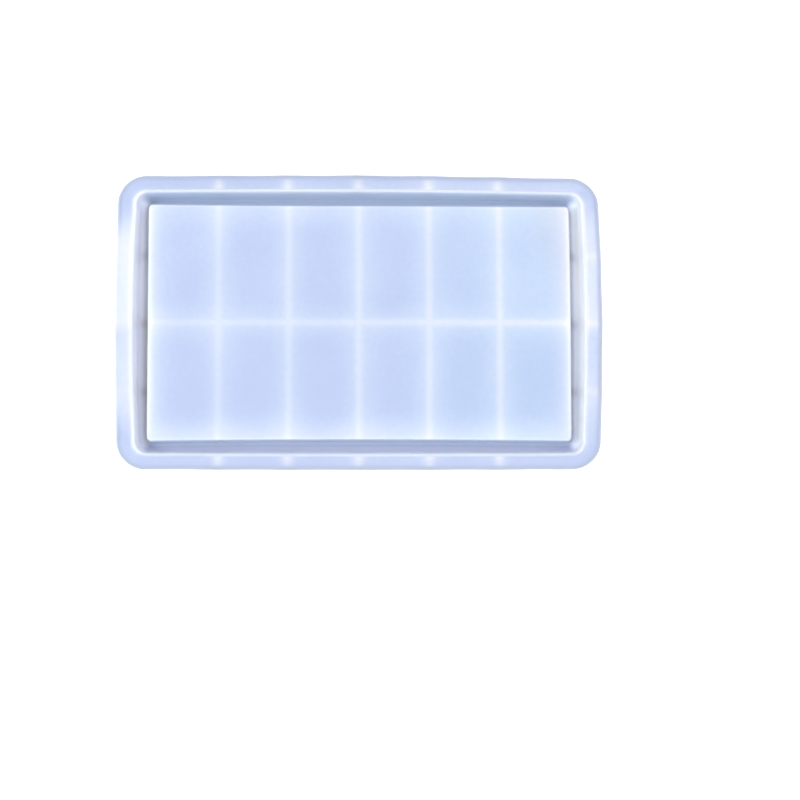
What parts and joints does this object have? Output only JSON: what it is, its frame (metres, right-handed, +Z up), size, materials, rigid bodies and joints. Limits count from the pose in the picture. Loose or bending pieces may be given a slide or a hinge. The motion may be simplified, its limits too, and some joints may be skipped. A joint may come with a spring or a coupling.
{
  "type": "resin casting mould",
  "caption": "Shallow rectangular silicone mould for casting a resin tray: flat rim, drafted trench around a raised deck, and stiffening ribs and gussets underneath.",
  "frame": {"origin": "centre of the mould's outline, on the plane that it rests on", "axes": "+X along the mould's length, +Y across its width towards the back, +Z up, out of the open side"},
  "size_m": [0.3, 0.182, 0.018],
  "materials": {
    "silicone": "translucent bluish-white silicone with a satin surface"
  },
  "bodies": {
    "root": {"rim_flange": "silicone", "trench_outer_wall": "silicone", "trench_floor": "silicone", "deck_side_wall": "silicone", "casting_deck": "silicone", "long_rib": "silicone", "cross_rib_1": "silicone", "cross_rib_2": "silicone", "cross_rib_3": "silicone", "cross_rib_4": "silicone", "cross_rib_5": "silicone", "gussets_front": "silicone", "gussets_back": "silicone", "gussets_left": "silicone", "gussets_right": "silicone"}
  },
  "joints": []
}
